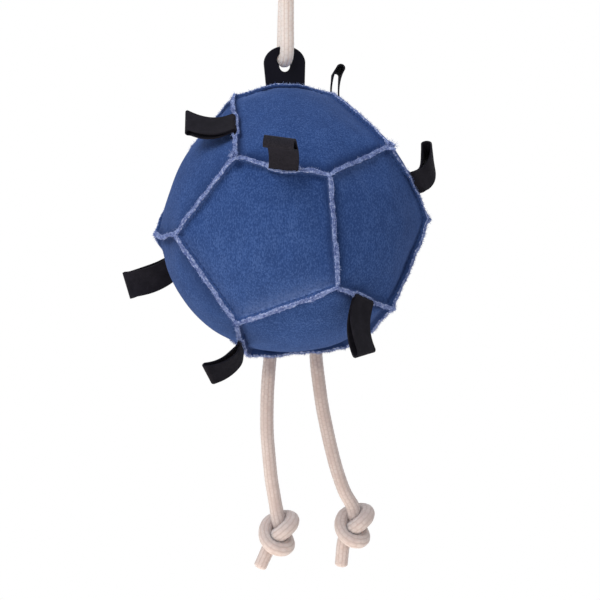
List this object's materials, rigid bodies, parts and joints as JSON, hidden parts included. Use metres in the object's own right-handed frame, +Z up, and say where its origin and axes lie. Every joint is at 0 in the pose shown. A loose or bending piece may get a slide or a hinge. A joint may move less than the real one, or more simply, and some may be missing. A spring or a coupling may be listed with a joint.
{
  "type": "hanging play ball for horses",
  "caption": "Stuffed ball of sewn pentagon panels with raised raw seams, hung on a rope by a slotted tab, with webbing loops in its seams and knotted rope legs.",
  "frame": {"origin": "where a hook bears under the top of the hanging rope", "axes": "+Z up; +X along the top seam that holds the hanging tab; -Y the face seen in the picture, about 17 degrees from the camera"},
  "size_m": [0.2174, 0.2445, 0.5012],
  "materials": {
    "cover": "blue suede, napped, with pale raw edges",
    "fill": "loose white fibre fill",
    "tab": "black leather, matt",
    "webbing": "black woven webbing",
    "rope": "undyed braided cotton rope"
  },
  "bodies": {
    "hanger": {"hang_rope": "rope"},
    "ball": {"panel_top_front": "cover", "panel_top_back": "cover", "panel_front_left": "cover", "panel_front_right": "cover", "panel_back_left": "cover", "panel_back_right": "cover", "panel_left_upper": "cover", "panel_left_lower": "cover", "panel_right_upper": "cover", "panel_right_lower": "cover", "panel_bottom_front": "cover", "panel_bottom_back": "cover", "stuffing": "fill", "hanging_tab": "tab", "leg_rope_bight": "rope", "webbing_tail_1": "webbing", "webbing_tail_2": "webbing", "webbing_tail_3": "webbing", "webbing_tail_4": "webbing", "webbing_tail_5": "webbing", "webbing_tail_6": "webbing", "webbing_tail_7": "webbing", "webbing_tail_8": "webbing", "webbing_tail_9": "webbing", "webbing_tail_10": "webbing", "webbing_tail_11": "webbing"},
    "leg_left": {"leg_rope_left": "rope"},
    "leg_right": {"leg_rope_right": "rope"},
    "loop_1": {"webbing_loop_1": "webbing"},
    "loop_2": {"webbing_loop_2": "webbing"},
    "loop_3": {"webbing_loop_3": "webbing"},
    "loop_4": {"webbing_loop_4": "webbing"},
    "loop_5": {"webbing_loop_5": "webbing"},
    "loop_6": {"webbing_loop_6": "webbing"},
    "loop_7": {"webbing_loop_7": "webbing"},
    "loop_8": {"webbing_loop_8": "webbing"},
    "loop_9": {"webbing_loop_9": "webbing"},
    "loop_10": {"webbing_loop_10": "webbing"},
    "loop_11": {"webbing_loop_11": "webbing"}
  },
  "joints": [
    {"name": "ball_swing", "type": "hinge", "parent": "hanger", "child": "ball", "pos_m": [0, 0, -0.104], "axis": [0, 1, 0], "range_deg": [-60, 60]},
    {"name": "leg_left_swing", "type": "hinge", "parent": "ball", "child": "leg_left", "pos_m": [-0.01158, 0, -0.32348], "axis": [0.9993, 0, 0.0384], "range_deg": [-60, 60]},
    {"name": "leg_right_swing", "type": "hinge", "parent": "ball", "child": "leg_right", "pos_m": [0.02437, 0, -0.32151], "axis": [0.9993, 0, 0.0384], "range_deg": [-60, 60]},
    {"name": "loop_1_flop", "type": "hinge", "parent": "ball", "child": "loop_1", "pos_m": [-0.04923, -0.03431, -0.1473], "axis": [0.2643, 0.7936, 0.5481], "range_deg": [-4, 85], "stiffness_Nm_per_rad": 0.008},
    {"name": "loop_2_flop", "type": "hinge", "parent": "ball", "child": "loop_2", "pos_m": [0.04559, 0.01851, -0.13508], "axis": [0.3929, 0.8455, -0.3616], "range_deg": [-40, 54], "stiffness_Nm_per_rad": 0.008},
    {"name": "loop_3_flop", "type": "hinge", "parent": "ball", "child": "loop_3", "pos_m": [-0.02561, -0.08237, -0.17507], "axis": [0.8302, -0.4743, -0.2929], "range_deg": [-40, 44], "stiffness_Nm_per_rad": 0.008},
    {"name": "loop_4_flop", "type": "hinge", "parent": "ball", "child": "loop_4", "pos_m": [0.08314, -0.04866, -0.19043], "axis": [0.5223, 0.3142, -0.7927], "range_deg": [-4, 85], "stiffness_Nm_per_rad": 0.008},
    {"name": "loop_5_flop", "type": "hinge", "parent": "ball", "child": "loop_5", "pos_m": [-0.07645, 0.04991, -0.25598], "axis": [0.519, 0.3163, -0.7941], "range_deg": [-40, 55], "stiffness_Nm_per_rad": 0.008},
    {"name": "loop_6_flop", "type": "hinge", "parent": "ball", "child": "loop_6", "pos_m": [-0.04418, -0.0346, -0.3046], "axis": [-0.3086, -0.7957, 0.5212], "range_deg": [-34, 57], "stiffness_Nm_per_rad": 0.008},
    {"name": "loop_7_flop", "type": "hinge", "parent": "ball", "child": "loop_7", "pos_m": [0.02989, -0.08484, -0.26893], "axis": [-0.8462, -0.4261, 0.32], "range_deg": [-16, 85], "stiffness_Nm_per_rad": 0.008},
    {"name": "loop_8_flop", "type": "hinge", "parent": "ball", "child": "loop_8", "pos_m": [0.03666, 0.07829, -0.17068], "axis": [0.7837, -0.5334, 0.3181], "range_deg": [-20, 85], "stiffness_Nm_per_rad": 0.008},
    {"name": "loop_9_flop", "type": "hinge", "parent": "ball", "child": "loop_9", "pos_m": [0.00433, 0.09981, -0.21664], "axis": [0.0383, 0.0628, -0.9973], "range_deg": [-26, 81], "stiffness_Nm_per_rad": 0.008},
    {"name": "loop_10_flop", "type": "hinge", "parent": "ball", "child": "loop_10", "pos_m": [0.05748, 0.03213, -0.29965], "axis": [0.2784, 0.8024, 0.5279], "range_deg": [-38, 66], "stiffness_Nm_per_rad": 0.008},
    {"name": "loop_11_flop", "type": "hinge", "parent": "ball", "child": "loop_11", "pos_m": [-0.02442, 0.08098, -0.27411], "axis": [0.7966, 0.5, 0.3398], "range_deg": [-18, 85], "stiffness_Nm_per_rad": 0.008}
  ]
}
